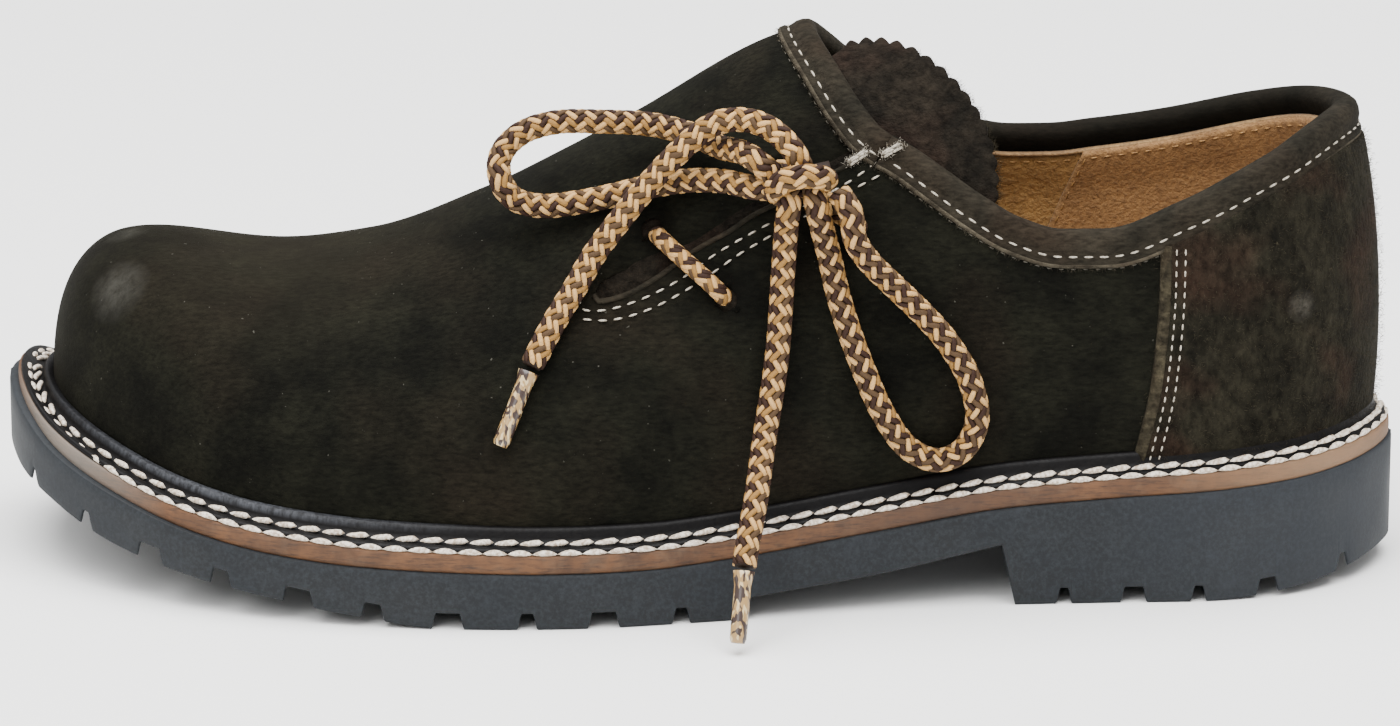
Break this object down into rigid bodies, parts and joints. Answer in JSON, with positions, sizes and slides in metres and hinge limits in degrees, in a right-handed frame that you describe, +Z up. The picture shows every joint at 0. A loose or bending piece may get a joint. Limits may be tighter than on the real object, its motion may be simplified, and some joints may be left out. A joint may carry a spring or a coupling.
{
  "type": "haferl shoe",
  "caption": "Low round-toed folk shoe for a left foot, with side lacing tied in a bow, pinked tongue, stitched welt and lug sole.",
  "frame": {"origin": "under the middle of the sole, on the floor plane", "axes": "+Z up, toe towards -X, outer side of the foot with the lacing towards -Y"},
  "size_m": [0.303, 0.1269, 0.1186],
  "materials": {
    "rubber_sole": "moulded, matt",
    "midsole_leather": "trimmed and waxed edge",
    "welt_leather": "waxed, dull gloss",
    "nubuck": "brushed nap",
    "counter_suede": "rough suede",
    "tongue_suede": "rough suede",
    "lining_leather": "smooth, natural",
    "lace_braid": "round braid in four colours"
  },
  "bodies": {
    "root": {"outsole": "rubber_sole", "midsole": "midsole_leather", "welt": "welt_leather", "insole": "lining_leather", "upper": "nubuck", "topline_binding": "nubuck", "heel_counter": "counter_suede", "tongue": "tongue_suede", "lace_bar_lower": "lace_braid", "lace_bar_upper": "lace_braid", "lace_knot": "lace_braid", "lace_loop_toe": "lace_braid", "lace_loop_heel": "lace_braid", "lace_end_toe": "lace_braid", "lace_end_floor": "lace_braid", "aglet_toe": "lace_braid", "aglet_floor": "lace_braid"}
  },
  "joints": []
}
